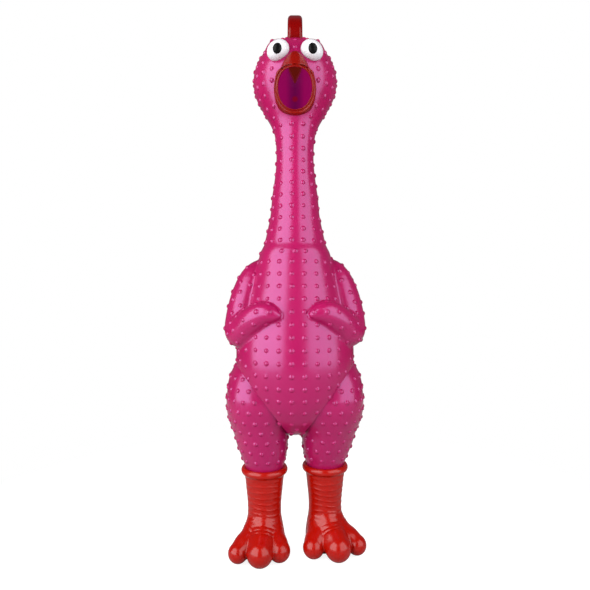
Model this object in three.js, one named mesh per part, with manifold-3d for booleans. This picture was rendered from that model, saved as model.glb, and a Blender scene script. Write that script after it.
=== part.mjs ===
// Rubber chicken squeeze toy. Millimetres, +Z up, the bird faces -Y, soles on z = 0.
import * as THREE from 'three';
import { mergeVertices } from 'three/examples/jsm/utils/BufferGeometryUtils.js';
import Module from 'manifold-3d';

const wasm = await Module();
wasm.setup();

// ---------------------------------------------------------------- driving dimensions
const WALL = 2.6;             // moulded vinyl wall
const GAP = 0.4;              // clearance at every moving fit
const SKIN_GAP = 0.3;         // clearance under pieces that sit on the skin

// Torso rows: height, half width, depth in front of the axis, depth behind it
const TORSO = [
  [84, 3, 4, 4], [88, 12, 16, 13], [95, 22, 26, 22], [105, 31, 33.5, 28],
  [117, 38, 38.5, 32], [131, 42, 41.5, 34.5], [146, 43, 42, 36], [161, 41.5, 40.5, 35.5],
  [175, 38, 37.5, 33.5], [188, 34, 33, 31], [200, 30.4, 28.6, 28.6], [210, 27.2, 26, 26.2],
  [219, 24.4, 24.4, 24.4],
];

// Neck joints: each is a ball end below and a cup above, centred on the hinge axis
const BASE_R = 24.4;          // neck radius where it leaves the torso
const BASE_Z = 219;
const MID_R = 17.4;           // neck radius at the middle joint
const MID_Z = 253;
const TOP_R = 13.1;           // neck radius under the head
const TOP_Z = 293;
const BALL = 1.25;            // ball radius over neck radius

const HEAD_R = 30.1;
const HEAD_Z = 342.6;

// Window in the chest that pushes in when the toy is squeezed
const PANEL_Z = 168;
const PANEL_HALF_X = 25;
const PANEL_HALF_Z = 28;

// Legs: hip ball centre, then the ankle axis, which is stepped fore and aft
const HIP_X = 27;
const HIP_Z = 113;
const HIP_HALF_X = 22.6;      // hip ball, along the hinge axis
const HIP_R = 30;             // hip ball, around the hinge axis
const ANKLE_X = 22.4;
const ANKLE_Y = { left: 4, right: -2 };
const TOE_OUT = { left: 19, right: 4 };   // degrees outward
const STUB_R = 9;             // shank plug inside the boot
const STUB_Z = 34;

const PINK = 0xcd2373;
const RED = 0xb81c12;
const COMB_RED = 0x960505;

// ---------------------------------------------------------------- helpers
function closed(geometry) {
  const g = geometry.clone();
  g.deleteAttribute('normal');
  g.deleteAttribute('uv');
  const merged = mergeVertices(g, 1e-4);
  const p = merged.attributes.position.array;
  const index = [];
  const raw = merged.index.array;
  for (let i = 0; i < raw.length; i += 3) {
    const [a, b, c] = [raw[i], raw[i + 1], raw[i + 2]];
    if (a !== b && b !== c && a !== c) index.push(a, b, c);
  }
  let volume = 0;
  const v = k => new THREE.Vector3(p[3 * k], p[3 * k + 1], p[3 * k + 2]);
  for (let i = 0; i < index.length; i += 3) {
    volume += v(index[i]).dot(v(index[i + 1]).cross(v(index[i + 2])));
  }
  if (volume < 0) index.reverse();
  return new wasm.Manifold(new wasm.Mesh({
    numProp: 3,
    vertProperties: Float32Array.from(p),
    triVerts: Uint32Array.from(index),
  }));
}

function geometryOf(body) {
  const mesh = body.getMesh();
  const g = new THREE.BufferGeometry();
  g.setAttribute('position', new THREE.BufferAttribute(Float32Array.from(mesh.vertProperties), 3));
  g.setIndex(new THREE.BufferAttribute(Uint32Array.from(mesh.triVerts), 1));
  return g;
}

// Rings of equal length, stacked so that each turns anticlockwise seen from the far end
function loft(rings) {
  const n = rings[0].length;
  const points = rings.flat();
  const index = [];
  for (let i = 0; i + 1 < rings.length; i++) {
    for (let j = 0; j < n; j++) {
      const a = i * n + j;
      const b = i * n + (j + 1) % n;
      index.push(a, b, b + n, a, b + n, a + n);
    }
  }
  for (const [ring, flip] of [[0, true], [rings.length - 1, false]]) {
    const middle = new THREE.Vector3();
    rings[ring].forEach(p => middle.add(p));
    points.push(middle.divideScalar(n));
    const hub = points.length - 1;
    for (let j = 0; j < n; j++) {
      const a = ring * n + j;
      const b = ring * n + (j + 1) % n;
      if (flip) index.push(hub, b, a);
      else index.push(hub, a, b);
    }
  }
  const g = new THREE.BufferGeometry().setFromPoints(points);
  g.setIndex(index);
  return closed(g);
}

function oval(z, cx, cy, rx, front, back, n, power = 2) {
  const ring = [];
  for (let j = 0; j < n; j++) {
    const t = 2 * Math.PI * j / n;
    const c = Math.cos(t);
    const s = Math.sin(t);
    const depth = s < 0 ? front : back;
    ring.push(new THREE.Vector3(
      cx + rx * Math.sign(c) * Math.abs(c) ** (2 / power),
      cy + depth * Math.sign(s) * Math.abs(s) ** (2 / power), z));
  }
  return ring;
}

// Smooth reading of a table of rows, each starting with its height
function rowAt(rows, z) {
  let i = 0;
  while (i < rows.length - 2 && z > rows[i + 1][0]) i++;
  const slope = (k, c) => {
    const a = rows[Math.max(k - 1, 0)];
    const b = rows[Math.min(k + 1, rows.length - 1)];
    return (b[c] - a[c]) / (b[0] - a[0]);
  };
  const [p, q] = [rows[i], rows[i + 1]];
  const h = q[0] - p[0];
  const t = (z - p[0]) / h;
  return p.map((_, c) => c === 0 ? z
    : (2 * t ** 3 - 3 * t ** 2 + 1) * p[c] + (t ** 3 - 2 * t ** 2 + t) * h * slope(i, c)
    + (3 * t ** 2 - 2 * t ** 3) * q[c] + (t ** 3 - t ** 2) * h * slope(i + 1, c));
}

function revolve(profile, n = 30) {
  const g = new THREE.LatheGeometry(profile.map(([r, z]) => new THREE.Vector2(r, z)), n);
  g.rotateX(Math.PI / 2);
  return closed(g);
}

function arc(cz, radius, from, to, steps) {
  const out = [];
  for (let i = 0; i <= steps; i++) {
    const a = THREE.MathUtils.degToRad(from + (to - from) * i / steps);
    out.push([Math.max(radius * Math.sin(a), 0), cz + radius * Math.cos(a)]);
  }
  return out;
}

function sphere(x, y, z, r, n = 32) {
  const g = new THREE.SphereGeometry(r, n, n / 2);
  g.rotateX(Math.PI / 2);
  g.translate(x, y, z);
  return closed(g);
}

function box(x0, x1, y0, y1, z0, z1) {
  const g = new THREE.BoxGeometry(x1 - x0, y1 - y0, z1 - z0);
  g.translate((x0 + x1) / 2, (y0 + y1) / 2, (z0 + z1) / 2);
  return closed(g);
}

function tube(r, z0, z1, n = 32, x = 0, y = 0) {
  const g = new THREE.CylinderGeometry(r, r, z1 - z0, n);
  g.rotateX(Math.PI / 2);
  g.translate(x, y, (z0 + z1) / 2);
  return closed(g);
}

// Outline in x and z, pushed through along y
function through(outline, y0, y1) {
  const shape = new THREE.Shape(outline.map(([x, z]) => new THREE.Vector2(x, z)));
  const g = new THREE.ExtrudeGeometry(shape, { depth: y1 - y0, bevelEnabled: false });
  g.rotateX(Math.PI / 2);
  g.translate(0, y1, 0);
  return closed(g);
}

// Rounded limb along a path, radius given at each path point
function limb(path, radii, n = 16, steps = 12) {
  const curve = new THREE.CatmullRomCurve3(path.map(p => new THREE.Vector3(...p)));
  const frames = curve.computeFrenetFrames(steps, false);
  const size = radii.map((r, i) => [i / (radii.length - 1), r]);
  const rings = [];
  for (let i = 0; i <= steps; i++) {
    const at = curve.getPoint(i / steps);
    const r = rowAt(size, i / steps)[1];
    const ring = [];
    for (let j = 0; j < n; j++) {
      const t = 2 * Math.PI * j / n;
      ring.push(at.clone()
        .addScaledVector(frames.normals[i], r * Math.cos(t))
        .addScaledVector(frames.binormals[i], r * Math.sin(t)));
    }
    rings.push(ring);
  }
  return loft(rings);
}

const join = (first, ...rest) => rest.reduce((a, b) => a.add(b), first);
const cut = (first, ...rest) => rest.reduce((a, b) => a.subtract(b), first);

// ---------------------------------------------------------------- torso
const ballCentre = (r, z) => z - r * Math.sqrt(BALL ** 2 - 1);
const BASE_C = ballCentre(BASE_R, BASE_Z);
const MID_C = ballCentre(MID_R, MID_Z);
const TOP_C = ballCentre(TOP_R, TOP_Z);
const RIM = THREE.MathUtils.radToDeg(Math.asin(1 / BALL));

function torsoSolid(grow, n = 32, steps = 14) {
  const rings = [];
  for (let i = 0; i <= steps; i++) {
    const z = 84 + (BASE_Z - 84) * i / steps;
    const [, a, f, b] = rowAt(TORSO, z);
    const lift = grow * (i < 2 ? -1 : 0);
    rings.push(oval(z + lift, 0, 0, a + grow, f + grow, b + grow, n, 2.1));
  }
  return loft(rings);
}

// Hip ball: turned about the hinge axis, so that it keeps its outline as the leg swings
function hipBall(side, grow, n = 24) {
  const g = new THREE.SphereGeometry(1, n, n / 2);
  g.rotateZ(Math.PI / 2);
  const p = g.attributes.position;
  for (let i = 0; i < p.count; i++) {
    const x = p.getX(i);
    const power = side * x < 0 ? 4 : 2.4;
    const swell = Math.abs(x) > 0.999 ? 1
      : (1 - Math.abs(x) ** power) ** (1 / power) / Math.sqrt(1 - x * x);
    p.setXYZ(i, x * (HIP_HALF_X + grow), p.getY(i) * swell * (HIP_R + grow),
      p.getZ(i) * swell * (HIP_R + grow));
  }
  g.translate(side * HIP_X, 0, HIP_Z);
  return closed(g);
}

const window = grow => {
  const outline = [];
  for (let j = 0; j < 28; j++) {
    const t = 2 * Math.PI * j / 28;
    outline.push([(PANEL_HALF_X + grow) * Math.cos(t), PANEL_Z + (PANEL_HALF_Z + grow) * Math.sin(t)]);
  }
  return through(outline, -60, -8);
};

const dome = revolve([
  ...arc(BASE_C, BASE_R * BALL, 0, RIM - 0.4, 7), [BASE_R - 0.3, BASE_Z - 6], [0, BASE_Z - 6]], 36);
const SHANK = [
  [61.6, 22.4, 14, 14], [64, 22.5, 14.9, 14.9], [70, 23, 16.8, 17.4], [79, 24.1, 18.9, 20.6],
  [88, 25.2, 20, 23.6], [100, 26.6, 21.4, 26.2], [113, 27, 20.5, 27],
];
function shank(name, side, d, n) {
  const rings = SHANK.map(([z, cx, rx, ry], i) => {
    const lean = ANKLE_Y[name] * (HIP_Z - z) / (HIP_Z - 61.6);
    return oval(z + (i === 0 ? d : 0), side * cx, lean, rx - d, ry - d, ry - d, n);
  });
  return loft(rings);
}
// Room that the leg needs as it swings, in the underside of the torso
const swings = [-25, -12.5, 0, 12.5, 25];
const swingRoom = (name, side) => join(...swings.map(a => shank(name, side, -0.9, 14)
  .translate([0, 0, -HIP_Z]).rotate([a, 0, 0]).translate([0, 0, HIP_Z])));
const hips = grow => hipBall(1, grow).add(hipBall(-1, grow));
const cavity = cut(torsoSolid(-WALL, 26, 10), hipBall(1, GAP + WALL, 18), hipBall(-1, GAP + WALL, 18),
  box(-60, 60, -60, 60, BASE_Z - 3, BASE_Z + 10), box(-60, 60, -60, 60, 60, 108));
const innerDome = revolve([
  ...arc(BASE_C, BASE_R * BALL - WALL, 0, RIM - 2, 5), [18, BASE_Z - 10], [0, BASE_Z - 10]], 28);
const torsoFull = cut(join(torsoSolid(0), dome), hips(GAP), swingRoom('left', 1), swingRoom('right', -1),
  cavity, innerDome, tube(9, BASE_Z - 10, BASE_Z + 20, 24));
const torsoShell = torsoFull.subtract(window(GAP));
const bellyPanel = torsoFull.intersect(window(0));

// ---------------------------------------------------------------- wings
function wing(side) {
  const path = [
    [side * 26, 4, 209], [side * 32, 0, 200], [side * 36, -4, 186], [side * 38, -9, 171],
    [side * 37.5, -15, 159.5], [side * 31.5, -24, 162], [side * 22.5, -32, 169], [side * 9.5, -39.5, 173.6],
  ];
  const arm = limb(path, [5.5, 9.5, 11.8, 12, 11.5, 10.4, 8.6, 2.8]);
  return arm.subtract(torsoSolid(SKIN_GAP));
}

// ---------------------------------------------------------------- neck
const neckLower = revolve([
  ...arc(BASE_C, BASE_R * BALL + GAP, RIM - 0.2, 25, 4),
  [13, MID_Z - 8], [9, MID_Z - 1],
  ...arc(MID_C, MID_R * BALL, 24.4, RIM, 5),
  [18.3, 244], [20.1, 235], [22.1, 226], [BASE_R - 0.1, BASE_Z + 0.4],
  [BASE_R - 0.2, BASE_Z + 0.3],
  ...arc(BASE_C, BASE_R * BALL + GAP, RIM - 0.2, RIM - 0.2, 1).slice(0, 1),
]);

const BORE_R = 10.2;          // bore that holds the squeaker
const neckUpper = revolve([
  ...arc(MID_C, MID_R * BALL + GAP, RIM - 0.2, 27.4, 4),
  [BORE_R, TOP_Z + 1.5],
  ...arc(TOP_C, TOP_R * BALL, 39, RIM, 4),
  [12.9, 288], [13.6, 279], [15.4, 266], [16.9, 257], [MID_R - 0.1, MID_Z + 0.4],
  ...arc(MID_C, MID_R * BALL + GAP, RIM - 0.2, RIM - 0.2, 1).slice(0, 1),
]);

// ---------------------------------------------------------------- squeaker in the neck
const SQUEAK_Z = 265;
const squeakerHousing = revolve([
  [8, SQUEAK_Z], [9.9, SQUEAK_Z], [9.9, SQUEAK_Z + 28], [8, SQUEAK_Z + 28], [8, SQUEAK_Z]], 32);
const squeakerCap = revolve([
  [2, SQUEAK_Z + 24.5], [7.7, SQUEAK_Z + 24.5], [7.7, SQUEAK_Z + 27.5], [2, SQUEAK_Z + 27.5],
  [2, SQUEAK_Z + 24.5]], 28);
const shallot = cut(join(tube(4.2, SQUEAK_Z + 2, SQUEAK_Z + 20, 28), tube(7.7, SQUEAK_Z + 1, SQUEAK_Z + 4, 28)),
  tube(2.8, SQUEAK_Z - 1, SQUEAK_Z + 18, 24), box(-9, 9, -9, -1.2, SQUEAK_Z + 4, SQUEAK_Z + 21),
  box(-2.6, 2.6, -3.4, -1.2, SQUEAK_Z + 0.5, SQUEAK_Z + 5));
const reedWedge = box(-2.2, 2.2, -3.2, -2.1, SQUEAK_Z + 1.2, SQUEAK_Z + 5.5);
const reedTongue = box(-2.2, 2.2, -1.85, -1.45, SQUEAK_Z + 2.2, SQUEAK_Z + 19);

// ---------------------------------------------------------------- head
const headProfile = d => [
  ...arc(HEAD_Z, HEAD_R - d, 0, 108, 11), [25.5 - d, 326.5], [21.2 - d, 319.2], [17.2 - d, 312.2],
  [14.6 - d, 305.8]];
const headOuter = revolve([
  ...headProfile(0), [13.5, 300], [TOP_R, TOP_Z + 0.4],
  ...arc(TOP_C, TOP_R * BALL + GAP, RIM - 1.5, 0, 5)]);
const headInner = revolve([...headProfile(WALL), [10, 304.5], [6, 303.2], [0, 303.2]]);

const MOUTH_Z = 324.5;
function mouth(halfX, up, down) {
  const outline = [];
  for (let j = 0; j < 26; j++) {
    const t = 2 * Math.PI * j / 26;
    const s = Math.sin(t);
    outline.push([halfX * Math.cos(t) * (1 - 0.06 * s), MOUTH_Z + (s > 0 ? up : down) * s]);
  }
  return outline;
}
const slot = box(-3.3, 3.3, 7.7, 18.3, 355, 385);
const headShell = cut(headOuter, headInner, through(mouth(10.6, 10.3, 10.8), -60, -4),
  tube(6, 290, 306, 28), slot);
const skull = grow => sphere(0, 0, HEAD_Z, HEAD_R + grow, 32);

// Lip plane: the open beak faces forward and slightly down
const lipCut = () => {
  const g = new THREE.BoxGeometry(80, 60, 80);
  g.translate(0, -30, 0);
  g.rotateX(THREE.MathUtils.degToRad(26.5));
  g.translate(0, -37, 338);
  return closed(g);
};
const headBody = revolve([
  [0, 375], ...arc(HEAD_Z, HEAD_R + SKIN_GAP, 0, 108, 11).slice(1), [25.8, 326.5], [21.5, 319.2],
  [17.5, 312.2], [14.9, 305.8], [13.8, 300], [0, 300]]);
function lowerBeakSolid() {
  const path = [];
  const n = 18;
  for (let j = 0; j <= n; j++) {
    const t = THREE.MathUtils.degToRad(-218 + 256 * j / n);
    const z = MOUTH_Z + (Math.sin(t) > 0 ? 11.5 : 12) * Math.sin(t);
    path.push(new THREE.Vector3(12.2 * Math.cos(t) * (1 - 0.06 * Math.sin(t)), -36 + 0.5 * (338 - z), z));
  }
  const round = new THREE.Shape();
  round.absarc(0, 0, 2.4, 0, 2 * Math.PI, false);
  const bead = new THREE.ExtrudeGeometry(round, {
    steps: 20, curveSegments: 6, bevelEnabled: false, extrudePath: new THREE.CatmullRomCurve3(path) });
  const skirt = cut(through(mouth(13.8, 13.5, 13.2), -37, -6), through(mouth(10.6, 10.3, 10.8), -60, -4),
    lipCut());
  return cut(join(closed(bead), skirt), headBody, box(-40, 40, -60, 10, 333.2, 380));
}

const BEAK = [
  [333.6, 10.6, 37.4, 4], [335, 11.4, 38.8, 4], [337.5, 11.7, 39.6, 4], [340.5, 11, 38.6, 4],
  [344, 9.2, 35.8, 4], [348, 6.6, 32, 4], [351.5, 3.8, 28.8, 4], [353.5, 1.2, 26.6, 4],
];
const beakSolid = grow => loft(BEAK.map(([z, a, f, b], i) => oval(
  z + (i === BEAK.length - 1 ? grow : 0), 0, 0, a + grow, f + grow, b, 36, 2)));
const upperBeak = cut(beakSolid(0), headBody);

const EYE = [11.6, -28.2, 353.6];
const EYE_AXES = [8, 6.5, 7.3];   // half its long way, across it, and straight out
// Egg shaped eyeball, its long way sloping down to the outside
function eyeball(side, grow, n = 24) {
  const g = new THREE.SphereGeometry(1, n, n / 2);
  g.scale(...EYE_AXES.map(r => r + grow));
  const out = new THREE.Vector3(side * 0.1, -0.95, -0.1).normalize();
  const long = new THREE.Vector3(1, 0, -0.55 * side);
  long.addScaledVector(out, -long.dot(out)).normalize();
  g.applyMatrix4(new THREE.Matrix4().makeBasis(long, new THREE.Vector3().crossVectors(out, long), out));
  g.translate(side * EYE[0], EYE[1], EYE[2]);
  return closed(g);
}
const eye = side => cut(eyeball(side, 0), skull(SKIN_GAP), beakSolid(SKIN_GAP));
function pupil(side) {
  const look = new THREE.Vector3(side * 0.05, -0.95, -0.27).normalize();
  const g = new THREE.SphereGeometry(1, 14, 8);
  g.scale(3.3, 4, 1.9);
  g.lookAt(look);
  g.translate(side * EYE[0] + look.x * 6.6, EYE[1] + look.y * 6.6, EYE[2] + look.z * 6.6);
  return cut(closed(g), eyeball(side, 0.15));
}

// Comb: a thick rounded blade over the crown, its barbed root inside the skull
function combSolid() {
  const crest = [
    [-9.5, 370], [-12.5, 375.5], [-10.5, 381.5], [-5.5, 384.2], [-1, 385.5], [2, 391], [6.5, 396],
    [11.5, 396.7], [16, 393], [19.5, 391], [25, 390.5], [29, 386], [30.5, 380.5], [34.5, 376],
    [36.5, 369], [35.5, 361], [33, 354], [29.8, 349.5], [26, 352],
  ];
  const shape = new THREE.Shape();
  shape.moveTo(crest[0][0], crest[0][1]);
  shape.splineThru(crest.slice(1).map(([y, z]) => new THREE.Vector2(y, z)));
  shape.lineTo(20, 360);
  shape.lineTo(0, 366);
  const g = new THREE.ExtrudeGeometry(shape, {
    depth: 5, bevelEnabled: true, bevelThickness: 2.5, bevelSize: 2, bevelOffset: -2, bevelSegments: 3,
    curveSegments: 2 });
  g.translate(0, 0, -2.5);
  g.rotateX(Math.PI / 2);
  g.rotateZ(Math.PI / 2);
  const blade = closed(g).subtract(skull(SKIN_GAP));
  const root = box(-3, 3, 8, 18, 361, 374);
  const barb = through([[-4.6, 362.2], [4.6, 362.2], [0, 351.5]], 11.5, 17.5);
  return join(blade, root, barb);
}

// ---------------------------------------------------------------- legs
const thighSolid = (name, side, d, n) => join(shank(name, side, d, n), hipBall(side, -d, n));
function thigh(name, side) {
  const at = [side * ANKLE_X, ANKLE_Y[name]];
  const outer = join(thighSolid(name, side, 0, 24), tube(STUB_R, STUB_Z, 66, 24, ...at));
  return cut(outer, thighSolid(name, side, WALL, 16), tube(STUB_R - WALL, STUB_Z - 4, 68, 20, ...at));
}

function boot(name, side) {
  const shaft = revolve([
    [0, -4], [15, -4], [15.4, 3], [15, 9], [13.2, 16], [11.9, 25], [12.2, 35], [13.1, 44], [13.9, 52],
    [14.2, 56.5], [15.9, 57.5], [16.5, 59.3], [15.9, 60.9], [14.6, 61.3], [0, 61.3]], 22);
  const toes = [[0, 25.4, 9.3, 9], [36, 28, 6, 5.8], [-36, 23.4, 7.2, 7.2]].map(([deg, reach, r, high]) => {
    const a = THREE.MathUtils.degToRad(deg * side);
    const dir = [Math.sin(a), -Math.cos(a)];
    const path = [0.1, 0.35, 0.62, 0.84, 1, 1 + 0.55 * r / reach, 1 + 0.86 * r / reach]
      .map((s, i) => [dir[0] * reach * s, dir[1] * reach * s,
        [13, 11, high * 0.82, high * 0.66, high * 0.6, high * 0.6, high * 0.6][i]]);
    return limb(path, [8, 8.2, r * 0.95, r * 0.92, r, r * 0.84, r * 0.4], 14, 8);
  });
  const heel = sphere(0, 8, 6, 9, 18);
  const bored = cut(join(shaft, ...toes, heel), tube(STUB_R + GAP, 10, 70, 24),
    box(-80, 80, -80, 80, -40, 0));
  return bored.rotate([0, 0, side * TOE_OUT[name]])
    .translate([side * ANKLE_X, ANKLE_Y[name], 0]);
}

// ---------------------------------------------------------------- assembly
const group = new THREE.Group();
group.name = 'rubber_chicken';
function add(name, body, color, roughness, metalness = 0) {
  const geometry = geometryOf(body);
  geometry.computeVertexNormals();
  const material = new THREE.MeshStandardMaterial({ color, roughness, metalness });
  material.name = name + '_material';
  const mesh = new THREE.Mesh(geometry, material);
  mesh.name = name;
  group.add(mesh);
}

add('torso_shell', torsoShell, PINK, 0.3);
add('belly_panel', bellyPanel, PINK, 0.3);
add('neck_lower', neckLower, PINK, 0.3);
add('neck_upper', neckUpper, PINK, 0.3);
add('squeaker_housing', squeakerHousing, 0xf2f0ea, 0.45);
add('squeaker_cap', squeakerCap, 0xf2f0ea, 0.45);
add('reed_plate', shallot, 0xf2f0ea, 0.45);
add('reed_wedge', reedWedge, 0xe6e2d6, 0.5);
add('reed_tongue', reedTongue, 0xd9dde0, 0.35);
add('head_shell', headShell, PINK, 0.3);
add('comb', combSolid(), COMB_RED, 0.3);
add('upper_beak', upperBeak, RED, 0.3);
add('lower_beak', lowerBeakSolid(), RED, 0.3);
for (const [name, side] of [['left', 1], ['right', -1]]) {
  add('wing_' + name, wing(side), PINK, 0.3);
  add('eye_' + name, eye(side), 0xf4f2ee, 0.2);
  add('pupil_' + name, pupil(side), 0x080808, 0.2);
  add('thigh_' + name, thigh(name, side), PINK, 0.3);
  add('boot_' + name, boot(name, side), RED, 0.25);
}

// Frame: box centre over the origin, soles on z = 0
const bounds = new THREE.Box3().setFromObject(group);
const shift = [-(bounds.min.x + bounds.max.x) / 2, -(bounds.min.y + bounds.max.y) / 2, -bounds.min.z];
for (const mesh of group.children) mesh.geometry.translate(...shift);

export default group;
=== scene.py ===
"""Rubber chicken squeeze toy: soft skins, painted parts, lights and camera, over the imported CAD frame."""
import bpy
import math
import numpy as np
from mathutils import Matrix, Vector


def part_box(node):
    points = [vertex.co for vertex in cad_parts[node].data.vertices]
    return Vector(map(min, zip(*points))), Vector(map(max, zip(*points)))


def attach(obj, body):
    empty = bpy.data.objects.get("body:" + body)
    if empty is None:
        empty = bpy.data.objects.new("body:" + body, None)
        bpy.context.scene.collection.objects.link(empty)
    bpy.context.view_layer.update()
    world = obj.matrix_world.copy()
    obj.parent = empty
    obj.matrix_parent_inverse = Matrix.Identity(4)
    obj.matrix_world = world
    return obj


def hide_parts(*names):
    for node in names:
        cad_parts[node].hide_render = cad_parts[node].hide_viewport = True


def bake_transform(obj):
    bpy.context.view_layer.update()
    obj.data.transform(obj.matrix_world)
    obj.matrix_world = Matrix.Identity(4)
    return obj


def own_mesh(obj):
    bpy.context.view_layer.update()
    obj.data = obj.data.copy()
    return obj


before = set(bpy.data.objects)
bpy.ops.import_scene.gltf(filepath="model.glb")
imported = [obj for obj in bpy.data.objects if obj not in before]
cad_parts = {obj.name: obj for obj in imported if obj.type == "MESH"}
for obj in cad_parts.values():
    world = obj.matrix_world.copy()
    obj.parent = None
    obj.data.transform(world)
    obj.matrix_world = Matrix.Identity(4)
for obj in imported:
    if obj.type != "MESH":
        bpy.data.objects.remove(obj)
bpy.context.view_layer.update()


RNG = np.random.default_rng(11)

# ---------------------------------------------------------------- where things are
# Shapes are worked out in millimetres about the toy's own axis, x to its left, -y forward, z up.
low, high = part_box("neck_upper")
AXIS = np.array([(low[0] + high[0]) / 2, (low[1] + high[1]) / 2, 0.0])


def metres(points):
    return np.asarray(points, float) * 0.001 + AXIS


def spot(x, y, z):
    return tuple(float(v) for v in metres([x, y, z]))


# ---------------------------------------------------------------- tables
# TORSO: height, half width, depth in front of the axis, depth behind it
# NECK: height, radius
# SHANK: height, distance from the middle plane, half width, half depth
TORSO = np.array([
    [84, 3, 4, 4], [88, 12, 16, 13], [95, 22, 26, 22], [105, 31, 33.5, 28], [117, 38, 38.5, 32],
    [131, 42, 41.5, 34.5], [146, 43, 42, 36], [161, 41.5, 40.5, 35.5], [175, 38, 37.5, 33.5],
    [188, 34, 33, 31], [200, 30.4, 28.8, 28.6], [210, 27.4, 26.4, 26.4], [219, 24.9, 24.8, 24.8],
    [223, 22.4, 22.3, 22.3], [226, 19.5, 19.5, 19.5]], float)
NECK = np.array([
    [205, 23.6], [212, 24.1], [219, 23.7], [226, 22.1], [235, 20.1], [244, 18.3], [253, 17.4],
    [257, 17.1], [266, 15.8], [279, 14.2], [288, 13.7], [293, 13.8], [300, 14.3], [305.8, 15.4],
    [312.2, 18.0], [319.2, 22.0], [326.5, 26.1], [333, 29.0], [342.6, 30.6]], float)
HEAD = (0.0, 0.0, 342.6)
HEAD_R = 30.6
SHANK = np.array([
    [50, 22.4, 12.2, 12.2], [57, 22.4, 12.3, 12.3], [60.5, 22.4, 13.7, 13.7], [64, 22.5, 14.9, 14.9],
    [70, 23, 16.8, 17.4], [79, 24.1, 18.9, 20.6], [88, 25.2, 20, 23.6], [100, 26.6, 21.4, 26.2],
    [113, 27, 20.5, 27]], float)
HIP = (27.0, 0.0, 113.0)
HIP_HALF, HIP_R = 22.6, 30.0         # the hip's half width, and its radius seen from the side
ANKLE_Z = 61.6                       # the shank leans fore or aft all the way down to here
ANKLE = {"left": (22.4, 4.0, 19.0), "right": (-22.4, -2.0, -4.0)}   # x, y, degrees the toes turn
SIDES = {"left": 1, "right": -1}


def reading(table, z):
    """Smooth columns of a table at heights z."""
    x = table[:, 0]
    m = np.gradient(table[:, 1:], x, axis=0)
    z = np.clip(z, x[0], x[-1])
    i = np.clip(np.searchsorted(x, z) - 1, 0, len(x) - 2)
    h = x[i + 1] - x[i]
    t = (z - x[i]) / h
    out = []
    for c in range(table.shape[1] - 1):
        p, q = table[i, c + 1], table[i + 1, c + 1]
        out.append((2 * t ** 3 - 3 * t ** 2 + 1) * p + (t ** 3 - 2 * t ** 2 + t) * h * m[i, c]
                   + (3 * t ** 2 - 2 * t ** 3) * q + (t ** 3 - t ** 2) * h * m[i + 1, c])
    return out


# ---------------------------------------------------------------- distance fields, in mm
ROUND_SLOPE, OVAL_SLOPE = 0.95, 0.93     # a radius read from a table changes with height, so distances shrink
TRUNK_LOW, TRUNK_HIGH = 84.5, 226
SQUARENESS = 2.1                         # 2 is an ellipse, and more is boxier
NECK_LOW = 205
NECK_CREASE, WING_CREASE, BROW_CREASE = 0.9, 1.6, 3.0


def blended(a, b, k):
    h = np.clip(0.5 + 0.5 * (b - a) / k, 0, 1)
    return b * (1 - h) + a * h - k * h * (1 - h)


def carved(a, b, k):
    """What is left of a once b is cut out of it, with the edge rounded over k."""
    return -blended(-a, b, k)


def length(*parts):
    return np.sqrt(sum(p * p for p in parts))


def ball(p, centre, r):
    return length(p[:, 0] - centre[0], p[:, 1] - centre[1], p[:, 2] - centre[2]) - r


def cone(p, a, b, ra, rb):
    a, b = np.asarray(a, float), np.asarray(b, float)
    ab = b - a
    t = np.clip((p - a) @ ab / (ab @ ab), 0, 1)
    q = p - a - t[:, None] * ab
    return np.sqrt((q * q).sum(1)) - (ra + (rb - ra) * t)


def chain(p, points, radii, k=0.0):
    d = None
    for a, b, ra, rb in zip(points, points[1:], radii, radii[1:]):
        e = cone(p, a, b, ra, rb)
        d = e if d is None else (np.minimum(d, e) if k == 0 else blended(d, e, k))
    return d


def smooth_path(points, radii, n):
    """Denser points on a curve through the given ones."""
    pts = np.column_stack([np.arange(len(points)), np.asarray(points, float), radii])
    at = np.linspace(0, len(points) - 1, n)
    x, y, z, r = reading(pts, at)
    return list(np.column_stack([x, y, z])), list(r)


def trunk_field(p):
    x, y, z = p.T
    zc = np.clip(z, TRUNK_LOW, TRUNK_HIGH)
    a, f, b = reading(TORSO, zc)
    depth = np.where(y < 0, f, b)
    r = length(x, y) + 1e-6
    phi = ((np.abs(x) / a) ** SQUARENESS + (np.abs(y) / depth) ** SQUARENESS) ** (1 / SQUARENESS) + 1e-6
    radial = (r - r / phi) * OVAL_SLOPE
    over = np.abs(z - zc)
    return np.where(over > 0, length(np.maximum(radial, 0), over) + np.minimum(radial, 0) * 0.2, radial)


def neck_field(p):
    x, y, z = p.T
    zc = np.clip(z, NECK_LOW, HEAD[2])
    (r,) = reading(NECK, zc)
    radial = (length(x, y) - r) * ROUND_SLOPE
    over = np.abs(z - zc)
    return np.where(over > 0, length(np.maximum(radial, 0), over), radial)


BROW = (11.6, -16.0, 357.4)
BROW_R = 9.3


def skull_field(p):
    """The ball of the head with a low brow behind each eye."""
    d = ball(p, HEAD, HEAD_R)
    for side in (1, -1):
        d = blended(d, ball(p, (side * BROW[0], BROW[1], BROW[2]), BROW_R), BROW_CREASE)
    return d


def head_field(p):
    return np.minimum(skull_field(p), neck_field(p))


# the folded wing from its shoulder round the elbow to its tip, and its radius along the way
ARM, ARM_R = smooth_path(
    [(24.6, 4, 208.5), (30.2, 0, 199.5), (34.2, -4, 185.5), (37, -9, 171), (37.2, -15, 161.3),
     (29.5, -25.5, 169), (20.5, -33.5, 174.5), (11.2, -39.2, 173.4)],
    [5.3, 9.3, 11.6, 11.8, 11.2, 9.8, 7.2, 1.8], 28)
ARM_BLEND = 2.4
LIFT = {1: 0.3, -1: -0.5}     # the bird's left wing is folded a touch higher


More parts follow.
